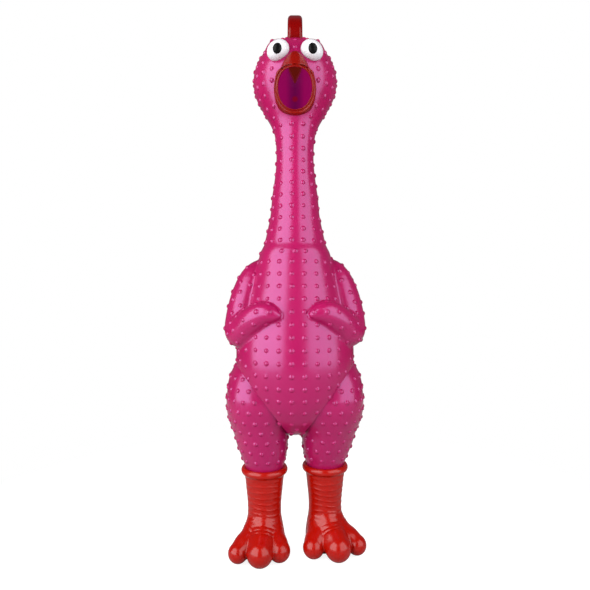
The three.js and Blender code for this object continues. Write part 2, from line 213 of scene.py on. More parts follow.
def wing_field(p, side):
    q = p * np.array([side, 1, 1]) - np.array([0, 0, LIFT[side]])
    return chain(q, ARM, ARM_R, ARM_BLEND)


def core_field(p):
    """Trunk and neck, without head and wings."""
    return blended(trunk_field(p), neck_field(p), NECK_CREASE)


def body_field(p):
    d = np.minimum(core_field(p), skull_field(p))
    for side in (1, -1):
        d = blended(d, wing_field(p, side), WING_CREASE)
    return d


HIP_INSIDE, HIP_OUTSIDE = 4.0, 2.4     # squareness towards the other leg, and away from it
HIP_BLEND = 5


def leg_field(name):
    side = SIDES[name]
    ay = ANKLE[name][1]

    def field(p):
        x, y, z = p.T
        u = (x * side - HIP[0]) / HIP_HALF
        ro = length(y, z - HIP[2]) / HIP_R
        power = np.where(u < 0, HIP_INSIDE, HIP_OUTSIDE)
        phi = (np.abs(u) ** power + ro ** power + 1e-9) ** (1 / power)
        hip = (phi - 1) * length(u * HIP_HALF, ro * HIP_R) / (phi + 1e-6)
        zc = np.clip(z, SHANK[0, 0], HIP[2])
        cx, rx, ry = reading(SHANK, zc)
        lean = ay * (HIP[2] - zc) / (HIP[2] - ANKLE_Z)
        dx, dy = x - side * cx, y - lean
        r = length(dx, dy) + 1e-6
        radial = (r - r / (length(dx / rx, dy / ry) + 1e-6)) * OVAL_SLOPE
        over = np.abs(z - zc)
        shank = np.where(over > 0, length(np.maximum(radial, 0), over), radial)
        return blended(hip, shank, HIP_BLEND)
    return field


LEG = {name: leg_field(name) for name in SIDES}


def swept_leg(name, spread=25, steps=7):
    """Everything that the leg passes through as it swings."""
    def field(p):
        d = None
        for a in np.radians(np.linspace(-spread, spread, steps)):
            q = p.copy()
            y, z = p[:, 1], p[:, 2] - HIP[2]
            q[:, 1] = y * math.cos(a) - z * math.sin(a)
            q[:, 2] = y * math.sin(a) + z * math.cos(a) + HIP[2]
            e = LEG[name](q)
            d = e if d is None else np.minimum(d, e)
        return d
    return field


# ---------------------------------------------------------------- meshing
def gradient(field, v, h=0.05):
    g = np.empty_like(v)
    for c in range(3):
        e = np.zeros(3)
        e[c] = h
        g[:, c] = field(v + e) - field(v - e)
    g /= 2 * h
    n = np.linalg.norm(g, axis=1) + 1e-9
    return g, n


def settle(field, v, rounds=3, step=1.5):
    """Moves points onto the surface."""
    for _ in range(rounds):
        g, n = gradient(field, v)
        d = field(v) / np.maximum(n, 0.3)
        v = v - (g / n[:, None]) * np.clip(d, -step, step)[:, None]
    return v


def net(field, lo, hi, pitch, rounds=3):
    """Surface net of the field's zero set: quads between the cells that it crosses."""
    lo, hi = np.asarray(lo, float), np.asarray(hi, float)
    shape = np.ceil((hi - lo) / pitch).astype(int) + 1
    axes = [lo[c] + pitch * np.arange(shape[c]) for c in range(3)]
    values = np.empty(shape)
    for i in range(0, shape[0], 8):
        block = np.stack(np.meshgrid(axes[0][i:i + 8], axes[1], axes[2], indexing="ij"), -1)
        values[i:i + 8] = field(block.reshape(-1, 3)).reshape(block.shape[:3])
    inside = values < 0
    cells = tuple(s - 1 for s in shape)
    total = np.zeros(cells + (3,))
    count = np.zeros(cells)
    corners = [(a, b, c) for a in (0, 1) for b in (0, 1) for c in (0, 1)]

    def part(array, corner):
        return array[tuple(slice(o, o + n) for o, n in zip(corner, cells))]
    for a in corners:
        for axis in range(3):
            if a[axis]:
                continue
            b = list(a)
            b[axis] = 1
            va, vb = part(values, a), part(values, tuple(b))
            hit = (va < 0) != (vb < 0)
            t = np.where(hit, va / np.where(hit, va - vb, 1), 0)
            for c in range(3):
                total[..., c] += np.where(hit, a[c] + (t if c == axis else 0), 0)
            count += hit
    used = count > 0
    number = np.full(cells, -1)
    number[used] = np.arange(used.sum())
    at = np.argwhere(used)
    v = lo + pitch * (at + total[used] / count[used][:, None])
    quads = []
    for axis in range(3):
        u, w = [(1, 2), (2, 0), (0, 1)][axis]
        head = [slice(None)] * 3
        tail = [slice(None)] * 3
        head[axis], tail[axis] = slice(0, -1), slice(1, None)
        a, b = inside[tuple(head)], inside[tuple(tail)]
        idx = np.argwhere(a != b)
        ok = (idx[:, u] > 0) & (idx[:, w] > 0) & (idx[:, u] < cells[u]) & (idx[:, w] < cells[w])
        idx = idx[ok]
        out = a[tuple(idx.T)]
        ring = []
        for du, dw in ((1, 1), (0, 1), (0, 0), (1, 0)):
            k = idx.copy()
            k[:, u] -= du
            k[:, w] -= dw
            ring.append(number[tuple(k.T)])
        q = np.stack(ring, 1)
        q[~out] = q[~out][:, ::-1]
        quads.append(q)
    q = np.concatenate(quads)
    f = np.concatenate([q[:, [0, 1, 2]], q[:, [0, 2, 3]]])
    return settle(field, v, rounds, pitch * 0.6), f


def clip(v, f, value):
    """The part of a mesh where value(points) > 0, cut exactly along the line where it is 0."""
    s = value(v)
    s = np.where(np.abs(s) < 1e-6, 1e-6, s)
    pos = s > 0
    kept = pos[f].sum(1)
    whole = f[kept == 3]
    mixed = f[(kept == 1) | (kept == 2)]
    if len(mixed) == 0:
        return tidy(v, whole)
    roll = []
    for t in mixed:
        m = pos[t]
        lone = int(np.argmax(m)) if m.sum() == 1 else int(np.argmin(m))
        roll.append([t[lone], t[(lone + 1) % 3], t[(lone + 2) % 3]])
    roll = np.array(roll)
    one = pos[roll[:, 0]]
    edges = np.concatenate([roll[:, [0, 1]], roll[:, [0, 2]]])
    key = np.sort(edges, 1)
    uniq, back = np.unique(key, axis=0, return_inverse=True)
    back = back.ravel()
    a, b = v[uniq[:, 0]], v[uniq[:, 1]]
    sa = s[uniq[:, 0]]
    ta, tb = np.zeros(len(uniq)), np.ones(len(uniq))
    for _ in range(14):
        tm = (ta + tb) / 2
        sm = value(a + (b - a) * tm[:, None])
        same = (sm > 0) == (sa > 0)
        ta, tb = np.where(same, tm, ta), np.where(same, tb, tm)
    fresh = a + (b - a) * ((ta + tb) / 2)[:, None]
    n = len(v)
    e0, e1 = back[:len(roll)] + n, back[len(roll):] + n
    tri = [np.stack([roll[one, 0], e0[one], e1[one]], 1)]
    two = ~one
    tri.append(np.stack([e0[two], roll[two, 1], roll[two, 2]], 1))
    tri.append(np.stack([e0[two], roll[two, 2], e1[two]], 1))
    return tidy(np.concatenate([v, fresh]), np.concatenate([whole] + tri))


def tidy(v, f):
    """A mesh without the points that no triangle uses."""
    used = np.unique(f)
    remap = np.full(len(v), -1)
    remap[used] = np.arange(len(used))
    return v[used], remap[f]


def skin(field, v):
    """Smooth normals of a field at points on its surface."""
    g, n = gradient(field, v)
    return g / n[:, None]


# ---------------------------------------------------------------- nubs
NUB_R, NUB_H = 1.8, 0.95
DOME = [(0.0, 1.0), (0.26, 0.95), (0.48, 0.8), (0.66, 0.55), (0.8, 0.26), (0.92, 0.06), (1.04, -0.04)]
NUB_ROOT = 0.5                # how far a nub's closed underside reaches below the skin
AROUND = 12


def nub_mesh(centres, normals, scale):
    """Little domes that run out into the skin at their rims, each closed below."""
    n = len(centres)
    side = np.cross(normals, np.where(np.abs(normals[:, 2:3]) < 0.9, [[0, 0, 1]], [[0, 1, 0]]))
    side /= np.linalg.norm(side, axis=1)[:, None]
    other = np.cross(normals, side)
    pts, nrm = [], []
    for k, (r, h) in enumerate(DOME):
        lo_k, hi_k = DOME[max(k - 1, 0)], DOME[min(k + 1, len(DOME) - 1)]
        slope = (hi_k[1] - lo_k[1]) / (hi_k[0] - lo_k[0]) * NUB_H / NUB_R
        slope = 0 if k == 0 else (-0.05 if k == len(DOME) - 1 else slope)
        for j in range(1 if k == 0 else AROUND):
            t = 2 * math.pi * j / AROUND
            out = side * math.cos(t) + other * math.sin(t)
            pts.append(centres + (out * r * NUB_R + normals * h * NUB_H) * scale[:, None])
            m = normals - out * slope
            nrm.append(m / np.linalg.norm(m, axis=1)[:, None])
    pts.append(centres - normals * NUB_ROOT)
    nrm.append(-normals)
    per = len(pts)
    v = np.stack(pts, 1).reshape(-1, 3)
    m = np.stack(nrm, 1).reshape(-1, 3)
    f = []
    for j in range(AROUND):
        i = (j + 1) % AROUND
        f.append((0, 1 + j, 1 + i))
        for k in range(len(DOME) - 2):
            a, b = 1 + k * AROUND, 1 + (k + 1) * AROUND
            f += [(a + j, b + j, b + i), (a + j, b + i, a + i)]
        last = 1 + (len(DOME) - 2) * AROUND
        f.append((per - 1, last + i, last + j))
    f = (np.array(f)[None] + (np.arange(n) * per)[:, None, None]).reshape(-1, 3)
    return v, f, m


def rows(field, z0, z1, rise, along, centre=(0.0, 0.0), stagger=False, reach=70.0, slide=0.0, rounds=60):
    """Places for nubs in level rows that start at the front, found by stepping in from `reach` away."""
    found = []
    theta = np.linspace(0, 2 * math.pi, 361)[:-1]
    way = np.stack([np.sin(theta), -np.cos(theta), 0 * theta], 1)
    for k, z in enumerate(np.arange(z0, z1, rise)):
        r = np.full(len(theta), reach)
        base = np.array([centre[0], centre[1], z])
        for _ in range(rounds):
            d = field(base + way * r[:, None])
            r = r - np.clip(d * 0.9, -1.0, 8.0)
            r = np.maximum(r, 0.5)
        p = base + way * r[:, None]
        step = np.linalg.norm(np.roll(p, -1, 0) - p, axis=1)
        run = np.concatenate([[0], np.cumsum(step)])
        total = run[-1]
        n = max(int(round(total / along)), 3)
        first = 0.5 if stagger and k % 2 else 0.0
        at = ((np.arange(n) + first + slide) * total / n) % total
        ring = np.vstack([p, p[:1]])
        found.append(np.stack([np.interp(at, run, ring[:, c]) for c in range(3)], 1))
    return np.concatenate(found)


def scatter(v, f, count):
    """Random places spread evenly over a mesh."""
    a, b, c = v[f[:, 0]], v[f[:, 1]], v[f[:, 2]]
    area = np.linalg.norm(np.cross(b - a, c - a), axis=1)
    pick = RNG.choice(len(f), count, p=area / area.sum())
    s, t = np.sqrt(RNG.random(count)), RNG.random(count)
    return a[pick] * (1 - s)[:, None] + b[pick] * (s * (1 - t))[:, None] + c[pick] * (s * t)[:, None]


def spaced(candidates, gaps, allowed):
    """Takes candidates in order, leaving out those that crowd an earlier one."""
    kept = []
    array = np.empty((0, 3))
    for group, gap in zip(candidates, gaps):
        group = group[allowed(group)]
        for p in group:
            if len(array) and ((array - p) ** 2).sum(1).min() < gap * gap:
                continue
            kept.append(p)
            array = np.array(kept)
    return array


# ---------------------------------------------------------------- objects
def make_piece(name, v, f, normals=None, material=None):
    mesh = bpy.data.meshes.new(name)
    mesh.vertices.add(len(v))
    mesh.vertices.foreach_set("co", metres(v).astype(np.float32).ravel())
    mesh.loops.add(len(f) * 3)
    mesh.loops.foreach_set("vertex_index", f.astype(np.int32).ravel())
    mesh.polygons.add(len(f))
    mesh.polygons.foreach_set("loop_start", np.arange(0, len(f) * 3, 3, dtype=np.int32))
    mesh.polygons.foreach_set("use_smooth", np.ones(len(f), bool))
    mesh.update(calc_edges=True)
    mesh.validate()
    if normals is not None and len(mesh.vertices) == len(v):
        mesh.normals_split_custom_set_from_vertices([tuple(n) for n in normals])
    if material:
        mesh.materials.append(material)
    obj = bpy.data.objects.new(name, mesh)
    bpy.context.collection.objects.link(obj)
    return obj


def with_nubs(field, v, f, places):
    """Skin and its nubs as one mesh, with the skin's own normals."""
    n = skin(field, v)
    if len(places) == 0:
        return v, f, n
    size = 0.9 + 0.2 * RNG.random(len(places))
    nub_v, nub_f, nub_n = nub_mesh(places, skin(field, places), size)
    return np.vstack([v, nub_v]), np.vstack([f, nub_f + len(v)]), np.vstack([n, nub_n])


# ---------------------------------------------------------------- beak, comb, eyes, boots
# half of each outline of the beak, as x and z from its foot to its top: outside, and round the mouth
OUTER = [(0, 312.6), (3.4, 313.0), (6.8, 314.1), (9.4, 315.6), (11.4, 317.4), (12.9, 319.9), (14.0, 323.0),
         (14.5, 326.6), (14.2, 330.2), (13.1, 334.2), (11.6, 338.4), (9.7, 342.4), (7.4, 346.6), (4.6, 350.4),
         (2.3, 352.6), (0, 353.4)]
INNER = [(0, 315.8), (2.8, 316.2), (5.4, 317.3), (7.6, 319.2), (9.4, 321.9), (10.5, 325.2), (10.7, 328.2),
         (10.1, 331), (8.8, 333.8), (6.8, 336), (4, 337.4), (0, 338)]
MOUTH_Z = 325.0               # the roof of the mouth domes above this height
MOUTH_DOME, MOUTH_TAPER = 0.042, 0.008
RIDGE_Y, RIDGE_Z, RIDGE_RISE = -39.4, 337.5, 0.60     # the ridge runs back from here as it rises
LIP_Y, LIP_Z, LIP_RISE = -38.2, 338, 0.66             # the mouth's front leans back from here as it falls
TURN_Z, TURN_OVER = 335.0, 6                          # the mouth's front turns into the lid here
LID_SUNK = 1.2                # how deep the lid's edges lie in the skull
BEAK_ROUND, MOUTH_ROUND = 2.6, 2.0
BEAK_BACK, BEAK_FLOOR = -6, 25.8
GROOVE_AT, GROOVE_R = 1.6, 0.6     # the groove round the lips: how far outside the mouth, and its radius


def smooth_outline(half, n=34):
    """Closed outline through half an outline's points and their mirror image."""
    curve, _ = smooth_path([(x, z, 0) for x, z in half], [1] * len(half), n)
    right = [(c[0], c[1]) for c in curve]
    return np.array(right + [(-x, z) for x, z in right[-2:0:-1]])


def outline_distance(points, x, z):
    """Signed distance to a closed outline."""
    d = np.full(len(x), 1e9)
    inside = np.zeros(len(x), bool)
    for (ax, az), (bx, bz) in zip(points, np.roll(points, -1, 0)):
        ex, ez = bx - ax, bz - az
        wx, wz = x - ax, z - az
        t = np.clip((wx * ex + wz * ez) / (ex * ex + ez * ez), 0, 1)
        d = np.minimum(d, (wx - ex * t) ** 2 + (wz - ez * t) ** 2)
        crosses = (az > z) != (bz > z)
        inside ^= crosses & (x < (bx - ax) * (z - az) / (bz - az + 1e-12) + ax)
    return np.where(inside, -1, 1) * np.sqrt(d)


OUTER_LINE, INNER_LINE = smooth_outline(OUTER), smooth_outline(INNER)


def beak_edge(x, z):
    return outline_distance(OUTER_LINE, x, z)


def beak_field(p):
    x, y, z = p.T
    (w,) = reading(np.array([(h, v) for v, h in OUTER]), z)
    t = np.clip(np.abs(x) / np.maximum(w, 0.5), 0, 1)
    back = -np.sqrt(np.maximum(HEAD_R ** 2 - x ** 2 - (z - HEAD[2]) ** 2, 20.0))
    ridge = RIDGE_Y + np.maximum(z - RIDGE_Z, 0) * RIDGE_RISE
    lid = ridge * (1 - t ** 2) + (back - LID_SUNK) * t ** 2
    lip = LIP_Y + LIP_RISE * (LIP_Z - z)
    s = np.clip((z - TURN_Z) / TURN_OVER, 0, 1)
    s = s * s * (3 - 2 * s)
    front = lip * (1 - s) + lid * s
    muzzle = carved(beak_edge(x, z), -(front - y) * 0.85, BEAK_ROUND)
    muzzle = np.maximum(muzzle, BEAK_FLOOR - length(x, y, z - HEAD[2]))
    muzzle = np.maximum(muzzle, y - BEAK_BACK)
    depth = np.maximum(y + 37, 0)
    roof = np.where(z > MOUTH_Z, MOUTH_Z + (z - MOUTH_Z) / (1 + MOUTH_DOME * depth), z)
    bowl = outline_distance(INNER_LINE, x / (1 + MOUTH_TAPER * depth), roof)
    d = carved(muzzle, bowl, MOUTH_ROUND)
    groove = length(bowl - GROOVE_AT, (front - y) * 0.7 + 0.35) - GROOVE_R
    return carved(d, groove, GROOVE_R)


COMB_HALF, COMB_ROUND = 5.35, 2.6
COMB_FLARE = 0.7              # how much wider the comb is where it meets the skull
CREST_KEYS = [
    (-9.5, 366), (-12.6, 372), (-12.6, 378.5), (-9.5, 385), (-4, 390.5), (2.5, 395), (9, 396.8),
    (14, 394.6), (17.5, 390.6), (21.5, 391), (25.5, 391), (29, 387.4), (30.5, 381.5), (34, 377.5),
    (36.6, 371), (35.8, 363), (34.6, 356), (31.5, 348)]
crest, _ = smooth_path([(y, z, 0) for y, z in CREST_KEYS], [1] * len(CREST_KEYS), 80)
CREST = np.array([(c[0], c[1]) for c in crest] + [(20, 350), (10, 360)])


def comb_field(p):
    x, y, z = p.T
    flare = COMB_FLARE * np.exp(-np.maximum(skull_field(p), 0))
    a = outline_distance(CREST, y, z) + COMB_ROUND
    b = np.abs(x) - (COMB_HALF + flare - COMB_ROUND)
    slab = length(np.maximum(a, 0), np.maximum(b, 0)) + np.minimum(np.maximum(a, b), 0) - COMB_ROUND
    return np.maximum(slab, HEAD_R - 1.6 - length(x, y, z - HEAD[2]))


def barb_field(p):
    """The comb's plug, which ends in a blunt wedge inside the head."""
    x, y, z = p.T
    half = np.clip((z - 350.6) * 0.47, 0.2, 4.7)
    d = np.maximum(np.abs(x) - half, np.abs(y - 14.5) - 3.2)
    return np.maximum(np.maximum(d, 351.2 - z), z - 369) - 0.35


EYE = (11.6, -28.2, 353.6)
EYE_LONG, EYE_ACROSS, EYE_OUT = 8.0, 6.5, 7.3     # half sizes of an eyeball
SUNK = (10.8, -19.0, 357.0)   # where the back of an eyeball sits in the head
PUPIL_WIDE, PUPIL_TALL = 3.3, 4.0                 # half sizes of a pupil
PAINT = 0.34                  # how far the paint stands out
PAINT_ROOT = 0.6              # and how deep its closed underside reaches
UNDER_EDGE = 0.5              # how much smaller the underside is all round


def eye_frame(side):
    """Axes of an eye: along its long way, across it, and straight out."""
    out = np.array([side * 0.10, -0.95, -0.10])
    out /= np.linalg.norm(out)
    long = np.array([1.0, 0, -0.55 * side])
    long -= out * (long @ out)
    long /= np.linalg.norm(long)
    return long, np.cross(out, long), out


def eye_surface(side, n=56):
    u = np.linspace(0, math.pi, n // 2 + 1)
    w = np.linspace(0, 2 * math.pi, n, endpoint=False)
    long, across, out = eye_frame(side)
    pts, f = [], []
    for a in u:
        for b in w:
            d = (math.sin(a) * math.cos(b) * EYE_LONG, math.sin(a) * math.sin(b) * EYE_ACROSS,
                 math.cos(a) * EYE_OUT)
            back = np.clip(-d[2] / EYE_OUT, 0, 1)
            centre = np.array([side, 1, 1]) * (np.array(EYE) * (1 - back) + np.array(SUNK) * back)
            pts.append(centre + long * d[0] + across * d[1] + out * d[2])
    for i in range(n // 2):
        for j in range(n):
            a, b = i * n + j, i * n + (j + 1) % n
            f += [(a, a + n, b + n), (a, b + n, b)]
    return np.array(pts), np.array(f)


def pupil_surface(side, n=40, rings=8):
    """A thin lens of paint that lies on the eyeball where it looks."""
    long, across, out = eye_frame(side)
    look = np.array([side * 0.05, -0.95, -0.27])
    look /= np.linalg.norm(look)
    up = np.array([-side * 0.14, 0.0, 1.0])
    up -= look * (up @ look)
    up /= np.linalg.norm(up)
    wide = np.cross(up, look)
    centre = np.array([side * EYE[0], EYE[1], EYE[2]])
    pts, f = [], []

    def lay(x, z, rise):
        d = look * 7.2 + wide * x + up * z
        d /= np.linalg.norm(d)
        r = 1 / math.sqrt((d @ long / EYE_LONG) ** 2 + (d @ across / EYE_ACROSS) ** 2
                          + (d @ out / EYE_OUT) ** 2)
        return centre + d * (r + rise)
    pts.append(lay(0, 0, PAINT))
    for k in range(1, rings + 1):
        s = k / rings
        rise = PAINT * math.sqrt(max(1 - s ** 3, 0)) - 0.02
        for j in range(n):
            t = 2 * math.pi * j / n
            pts.append(lay(PUPIL_WIDE * s * math.cos(t), PUPIL_TALL * s * math.sin(t), rise))
    for j in range(n):
        t = 2 * math.pi * j / n
        pts.append(lay((PUPIL_WIDE - UNDER_EDGE) * math.cos(t), (PUPIL_TALL - UNDER_EDGE) * math.sin(t),
                       -PAINT_ROOT))
    pts.append(lay(0, 0, -PAINT_ROOT))
    for j in range(n):
        i = (j + 1) % n
        f.append((0, 1 + j, 1 + i))
        for k in range(rings):
            a, b = 1 + k * n, 1 + (k + 1) * n
            f += [(a + j, b + j, b + i), (a + j, b + i, a + i)]
        f.append((len(pts) - 1, 1 + rings * n + i, 1 + rings * n + j))
    return np.array(pts), np.array(f)


SHAFT = np.array([
    [0, 13.4], [6, 14.2], [12, 14], [17, 13.3], [22, 12.6], [28, 12.2], [36, 12.4], [44, 13.2],
    [51, 13.9], [56, 14.5], [62, 15.1]], float)
CUFF_Z, CUFF_OUT, CUFF_IN, CUFF_R = 58.8, 15.0, 14.6, 2.0     # the rolled cuff
BORE_R, BORE_Z = 12.5, 57.5   # the boot's mouth, where the shank goes in
CREASE_PITCH, CREASE_DEPTH, KNUCKLE_DEPTH = 4.1, 0.26, 0.26
# how far out and how high a toe runs, and its radius there
MIDDLE_TOE = [(0, 16, 10.8), (9, 14.6, 10.2), (17, 11.6, 9.4), (24.2, 9.0, 9.2)]
OUTER_TOE = [(0, 17, 9.4), (10, 14.2, 8.6), (19, 10.6, 7.6), (26.6, 7.6, 7.0)]
INNER_TOE = [(0, 16, 9.4), (8, 13.6, 8.8), (15, 10.6, 8.2), (21.8, 8.0, 7.6)]


def toe_field(q, toe, degrees, creases):
    """One toe, creased across its knuckle."""
    t = math.radians(degrees)
    way = [(s * math.sin(t), -s * math.cos(t), h) for s, h, _ in toe]
    e = chain(q, way, [r for _, _, r in toe], 3.0)
    along = q[:, 0] * math.sin(t) - q[:, 1] * math.cos(t)
    bend = sum(np.exp(-((along + 0.03 * (q[:, 0] ** 2) * math.cos(t) - k) / 0.5) ** 2) for k in creases)
    return e + KNUCKLE_DEPTH * bend * np.clip((q[:, 2] - 9) / 4, 0, 1)


OUTER_AT = 36                            # degrees that the outer toe is spread from the middle one
INNER_AT = {"left": 44, "right": 36}     # and the inner one


SOLE_ROUND = 0.8


def boot_field(name):
    """One boot: creased shaft, rolled cuff, three toes and a heel, flat below."""
    cx, cy, turn = ANKLE[name]
    a = math.radians(turn)
    side = SIDES[name]

    def field(p):
        x, y, z = p[:, 0] - cx, p[:, 1] - cy, p[:, 2]
        q = np.stack([x * math.cos(a) + y * math.sin(a), -x * math.sin(a) + y * math.cos(a), z], 1)
        x, y, z = q.T
        theta = np.arctan2(x, -y)
        across = length(x, y)
        (r,) = reading(SHAFT, z)
        # creases: level waves that wander a little, deepest in front
        facing = np.clip(np.cos(theta) * 1.6, 0.12, 1)
        wander = np.sin(theta * 2 + 0.6 * side) + np.sin(theta * 3 + z * 0.2) - np.cos(theta)
        ridge = 0.5 + 0.5 * np.cos((z + 0.5 * wander) * 2 * math.pi / CREASE_PITCH)
        band = np.clip((z - 18) / 5, 0, 1) * np.clip((54.5 - z) / 2, 0, 1) * facing
        d = (across - r - band * CREASE_DEPTH * (ridge ** 3 - 0.2)) * ROUND_SLOPE
        d = np.maximum(d, z - 60.2)
        cuff = length(np.maximum(across - CUFF_OUT, 0) + np.minimum(across - CUFF_IN, 0),
                      (z - CUFF_Z) * 0.8) - CUFF_R
        d = blended(d, cuff, 1.4)
        d = np.maximum(d, -np.maximum(across - BORE_R, BORE_Z - z))
        toes = toe_field(q, MIDDLE_TOE, 0, (15.5, 18.0, 20.4))
        toes = blended(toes, toe_field(q, OUTER_TOE, OUTER_AT * side, (17.0, 19.6)), 1.2)
        toes = blended(toes, toe_field(q, INNER_TOE, -INNER_AT[name] * side, (13.5, 16.0)), 1.2)
        d = blended(d, toes, 5.5)
        heel = chain(q, [(0, 3, 8), (0, 8.5, 7)], [11, 9.6])
        d = blended(d, heel, 5)
        return carved(d, z, SOLE_ROUND)
    return field


# ---------------------------------------------------------------- materials
def colour_ramp(nodes, first, last, *between):
    """Ramp through stops, each a position and a colour."""
    ramp = nodes.new("ShaderNodeValToRGB")
    stops = ramp.color_ramp.elements
    for index, (position, colour) in enumerate((first, last)):
        stops[index].position = position
        stops[index].color = (*colour, 1)
    for position, colour in between:
        stops.new(position).color = (*colour, 1)
    return ramp


def vinyl(name, colour, roughness, specular=0.5, mottle=0.05, glow=0.0, tint=(1, 1, 1)):
    """Glossy moulded vinyl, its colour very slightly cloudy."""
    m = bpy.data.materials.new(name)
    m.use_nodes = True
    nodes, links = m.node_tree.nodes, m.node_tree.links
    b = nodes["Principled BSDF"]
    b.inputs["Roughness"].default_value = roughness
    b.inputs["Specular IOR Level"].default_value = specular
    b.inputs["Specular Tint"].default_value = (*tint, 1)
    if mottle == 0:
        b.inputs["Base Color"].default_value = (*colour, 1)
        return m
    place = nodes.new("ShaderNodeTexCoord")
    noise = nodes.new("ShaderNodeTexNoise")
    noise.inputs["Scale"].default_value = 38
    noise.inputs["Detail"].default_value = 3
    ramp = colour_ramp(nodes, (0.3, [c * (1 - mottle) for c in colour]),
                       (0.7, [min(c * (1 + mottle), 1) for c in colour]))
    links.new(place.outputs["Object"], noise.inputs["Vector"])
    links.new(noise.outputs["Fac"], ramp.inputs["Fac"])
    links.new(ramp.outputs["Color"], b.inputs["Base Color"])
    # painted glow: the material gives off its own colour as light, though it is no lamp
    if glow:
        b.inputs["Emission Strength"].default_value = glow
        links.new(ramp.outputs["Color"], b.inputs["Emission Color"])
    return m


pink = vinyl("pink_vinyl", (0.33, 0.0046, 0.072), roughness=0.26, specular=0.85, tint=(0.66, 0.5, 1.0))
red = vinyl("red_vinyl", (0.33, 0.0034, 0.0004), roughness=0.22, specular=0.36)
beak_red = vinyl("beak_vinyl", (0.19, 0.0022, 0.0004), roughness=0.26, specular=0.3)
comb_red = vinyl("comb_vinyl", (0.15, 0.0003, 0.0002), roughness=0.25, specular=0.2)
# the barb has a painted glow, for light that shines through the thin head wall around it
barb_brown = vinyl("barb_vinyl", (0.14, 0.012, 0.001), roughness=0.4, glow=0.5)
white = vinyl("eye_white", (0.60, 0.59, 0.62), roughness=0.3, specular=0.3, mottle=0.01)
black = vinyl("pupil_black", (0.002, 0.002, 0.002), roughness=0.3, specular=0.12, mottle=0)
plastic = vinyl("squeaker_plastic", (0.8, 0.79, 0.75), roughness=0.45, mottle=0.02)
film = vinyl("reed_film", (0.65, 0.68, 0.7), roughness=0.3, mottle=0.02)


MOULDING_DOT = (0, 27.4, 342.8)
PER_CENTIMETRE = 100.0        # turns metres into the ramps' own units


def lining_material():
    """Thin wall lit from outside: purple with a painted glow for the light that comes through the wall,
    painted shade darker down the middle, with one red moulding dot.
    """
    m = bpy.data.materials.new("mouth_lining")
    m.use_nodes = True
    nodes, links = m.node_tree.nodes, m.node_tree.links
    b = nodes["Principled BSDF"]
    b.inputs["Roughness"].default_value = 0.35
    b.inputs["Specular IOR Level"].default_value = 0.3
    # painted glow: the lining gives off its own colour, for light that comes through the thin wall
    b.inputs["Emission Strength"].default_value = 0.55
    place = nodes.new("ShaderNodeTexCoord")
    split = nodes.new("ShaderNodeSeparateXYZ")
    links.new(place.outputs["Object"], split.inputs[0])

    def maths(operation, value, number=0.5):
        n = nodes.new("ShaderNodeMath")
        n.operation = operation
        links.new(value, n.inputs[0])
        n.inputs[1].default_value = number
        return n.outputs[0]
    # painted shade: darker down the middle of the wall, lighter towards the sides
    off = maths("ABSOLUTE", maths("SUBTRACT", split.outputs["X"], float(AXIS[0])))
    band = colour_ramp(nodes, (0.0, (0.15, 0.003, 0.085)), (0.75, (0.34, 0.004, 0.13)),
                       (0.32, (0.20, 0.003, 0.10)))
    links.new(maths("MULTIPLY", off, PER_CENTIMETRE), band.inputs["Fac"])
    dot = nodes.new("ShaderNodeVectorMath")
    dot.operation = "DISTANCE"
    links.new(place.outputs["Object"], dot.inputs[0])
    dot.inputs[1].default_value = spot(*MOULDING_DOT)
    mask = colour_ramp(nodes, (0.16, (1, 1, 1)), (0.30, (0, 0, 0)))
    links.new(maths("MULTIPLY", dot.outputs["Value"], PER_CENTIMETRE), mask.inputs["Fac"])
    mix = nodes.new("ShaderNodeMix")
    mix.data_type = "RGBA"
    links.new(mask.outputs["Color"], mix.inputs["Factor"])
    links.new(band.outputs["Color"], mix.inputs["A"])
    mix.inputs["B"].default_value = (0.26, 0.003, 0.03, 1)
    links.new(mix.outputs["Result"], b.inputs["Base Color"])
    links.new(mix.outputs["Result"], b.inputs["Emission Color"])
    return m


lining = lining_material()

# ---------------------------------------------------------------- build the skins
FINE = 1.5
SMALL = 0.6
CUT_Y = -29.0                 # the squeezed front of the body lies forward of this plane
EYE_REACH = 8.2
SWEPT = {name: swept_leg(name) for name in SIDES}
SWING_GAP = 0.35              # clearance between the body and a leg as it swings


def leg_room(name):
    return lambda p: SWEPT[name](p) - SWING_GAP


def near_eye(p):
    return np.minimum(ball(p, EYE, EYE_REACH), ball(p, (-EYE[0], EYE[1], EYE[2]), EYE_REACH))


def mouth_gap(p):
    return np.maximum(beak_edge(p[:, 0], p[:, 2]) + 1.6, p[:, 1] + 4)


body_v, body_f = net(body_field, (-53, -52, 81), (53, 42, 375), FINE)
for name in SIDES:
    body_v, body_f = clip(body_v, body_f, leg_room(name))
body_v, body_f = clip(body_v, body_f, mouth_gap)


COLLAR_Z = 219.4              # the crease round the foot of the neck


def clear_of_parts(p):
    """Whether a nub fits there, away from eyes, comb, beak, thighs and the crease round the neck."""
    ok = (near_eye(p) > 1.9) & (comb_field(p) > 2.6)
    ok &= (p[:, 1] > 0) | (beak_edge(p[:, 0], p[:, 2]) > 2.0)
    for n in SIDES:
        ok &= LEG[n](p) > 1.3
    return ok & (np.abs(p[:, 2] - COLLAR_Z) > 1.9)


front_rows = rows(body_field, 89.5, 217, 8.6, 8.8, slide=-0.25)
neck_rows = rows(body_field, 225.0, 309, 8.3, 8.4, slide=-0.3)
head_rows = rows(head_field, 312.5, 372, 7.4, 8.4, reach=44)
loose = scatter(body_v, body_f, 12000)
torso_like = front_rows[np.abs(front_rows[:, 0]) < 30]
nubs = spaced([torso_like, neck_rows, head_rows, loose], [6.6, 6.4, 6.2, 7.2], clear_of_parts)


WING_TOP = 216
NOWHERE = -5.0


def wing_share(p):
    """Positive where the surface belongs to a wing."""
    arm = np.minimum(wing_field(p, 1), wing_field(p, -1))
    return np.where(p[:, 2] < WING_TOP, core_field(p) - arm, NOWHERE)


